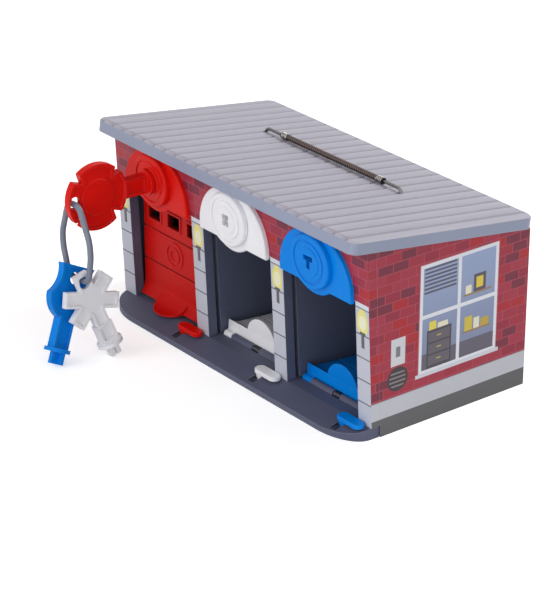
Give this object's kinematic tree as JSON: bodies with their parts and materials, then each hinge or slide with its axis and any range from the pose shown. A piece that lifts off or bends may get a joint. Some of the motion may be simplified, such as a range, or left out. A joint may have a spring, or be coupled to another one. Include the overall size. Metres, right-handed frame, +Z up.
{
  "type": "toy garage",
  "caption": "Wooden toy garage whose bays have drop-back doors, key locks and release tabs, with shaped keys on a ring and a carrying handle.",
  "frame": {"origin": "on the ground under the middle of the wooden box, halfway across its width and its depth", "axes": "+Z up; +X to the right as seen from the front, along the row of bays; the front faces -Y"},
  "size_m": [0.305, 0.2635, 0.1582],
  "materials": {
    "wall_print": "satin printed and lacquered board",
    "front_paint": "satin printed and lacquered board",
    "inner_paint": "matt painted board",
    "roof_paint": "satin painted board",
    "ramp_plastic": "matt moulded",
    "red_plastic": "gloss moulded",
    "white_plastic": "gloss moulded",
    "blue_plastic": "gloss moulded",
    "grey_plastic": "satin moulded",
    "steel": "bright drawn wire",
    "grip_plastic": "matt sleeve"
  },
  "bodies": {
    "garage": {"floor_board": "inner_paint", "ramp": "ramp_plastic", "front_wall": "front_paint", "left_wall": "wall_print", "right_wall": "wall_print", "back_wall": "wall_print", "partition_left": "inner_paint", "partition_right": "inner_paint", "roof": "roof_paint", "door_pin_red": "steel", "door_pin_white": "steel", "door_pin_blue": "steel", "lock_plate_red": "red_plastic", "lock_plate_white": "white_plastic", "lock_plate_blue": "blue_plastic"},
    "handle": {"handle_wire": "steel", "handle_grip": "grip_plastic", "handle_stop_left": "grip_plastic", "handle_stop_right": "grip_plastic"},
    "door_red": {"door_red": "red_plastic", "door_spring_red": "steel"},
    "lock_red": {"lock_dial_red": "red_plastic", "lock_cam_red": "steel", "cam_screw_red": "steel"},
    "tab_red": {"release_tab_red": "red_plastic"},
    "door_white": {"door_white": "white_plastic", "door_spring_white": "steel"},
    "lock_white": {"lock_dial_white": "white_plastic", "lock_cam_white": "steel", "cam_screw_white": "steel"},
    "tab_white": {"release_tab_white": "white_plastic"},
    "door_blue": {"door_blue": "blue_plastic", "door_spring_blue": "steel"},
    "lock_blue": {"lock_dial_blue": "blue_plastic", "lock_cam_blue": "steel", "cam_screw_blue": "steel"},
    "tab_blue": {"release_tab_blue": "blue_plastic"},
    "key_red": {"key_red": "red_plastic"},
    "key_ring": {"key_ring": "grey_plastic"},
    "key_white": {"key_white": "white_plastic"},
    "key_blue": {"key_blue": "blue_plastic"}
  },
  "joints": [
    {"name": "handle_lift", "type": "slide", "parent": "garage", "child": "handle", "axis": [0, 0.1381, 0.9904], "range_m": [0, 0.0257]},
    {"name": "door_red_swing", "type": "hinge", "parent": "garage", "child": "door_red", "pos_m": [-0.09523, -0.058, 0.009], "axis": [-1, 0, 0], "range_deg": [0, 94.5], "stiffness_Nm_per_rad": 0.016, "springref_deg": -20.05},
    {"name": "door_white_swing", "type": "hinge", "parent": "garage", "child": "door_white", "pos_m": [0, -0.058, 0.009], "axis": [1, 0, 0], "range_deg": [0, 94.5]},
    {"name": "door_blue_swing", "type": "hinge", "parent": "garage", "child": "door_blue", "pos_m": [0.09523, -0.058, 0.009], "axis": [1, 0, 0], "range_deg": [0, 94.5]},
    {"name": "lock_red_turn", "type": "hinge", "parent": "garage", "child": "lock_red", "pos_m": [-0.09523, -0.07869, 0.12214], "axis": [0, 0.9987, 0.0506], "range_deg": [0, 90]},
    {"name": "lock_white_turn", "type": "hinge", "parent": "garage", "child": "lock_white", "pos_m": [0, -0.07869, 0.12214], "axis": [0, 0.9987, 0.0506], "range_deg": [0, 90]},
    {"name": "lock_blue_turn", "type": "hinge", "parent": "garage", "child": "lock_blue", "pos_m": [0.09523, -0.07869, 0.12214], "axis": [0, 0.9987, 0.0506], "range_deg": [0, 90]},
    {"name": "tab_red_slide", "type": "slide", "parent": "garage", "child": "tab_red", "axis": [0, -1, 0], "range_m": [0, 0.007], "stiffness_N_per_m": 20},
    {"name": "tab_white_slide", "type": "slide", "parent": "garage", "child": "tab_white", "axis": [0, -1, 0], "range_m": [0, 0.007], "stiffness_N_per_m": 20},
    {"name": "tab_blue_slide", "type": "slide", "parent": "garage", "child": "tab_blue", "axis": [0, -1, 0], "range_m": [0, 0.007], "stiffness_N_per_m": 20},
    {"name": "key_red_pull", "type": "slide", "parent": "lock_red", "child": "key_red", "axis": [0, -1, 0], "range_m": [0, 0.009]},
    {"name": "ring_swing", "type": "hinge", "parent": "key_red", "child": "key_ring", "pos_m": [-0.09523, -0.15508, 0.12051], "axis": [1, 0, 0], "range_deg": [-30, 10]},
    {"name": "key_white_swing", "type": "hinge", "parent": "key_ring", "child": "key_white", "pos_m": [-0.08593, -0.15508, 0.06202], "axis": [1, 0, 0], "range_deg": [0, 45]},
    {"name": "key_blue_swing", "type": "hinge", "parent": "key_ring", "child": "key_blue", "pos_m": [-0.0981, -0.15508, 0.0612], "axis": [-1, 0, 0], "range_deg": [0, 60]}
  ]
}
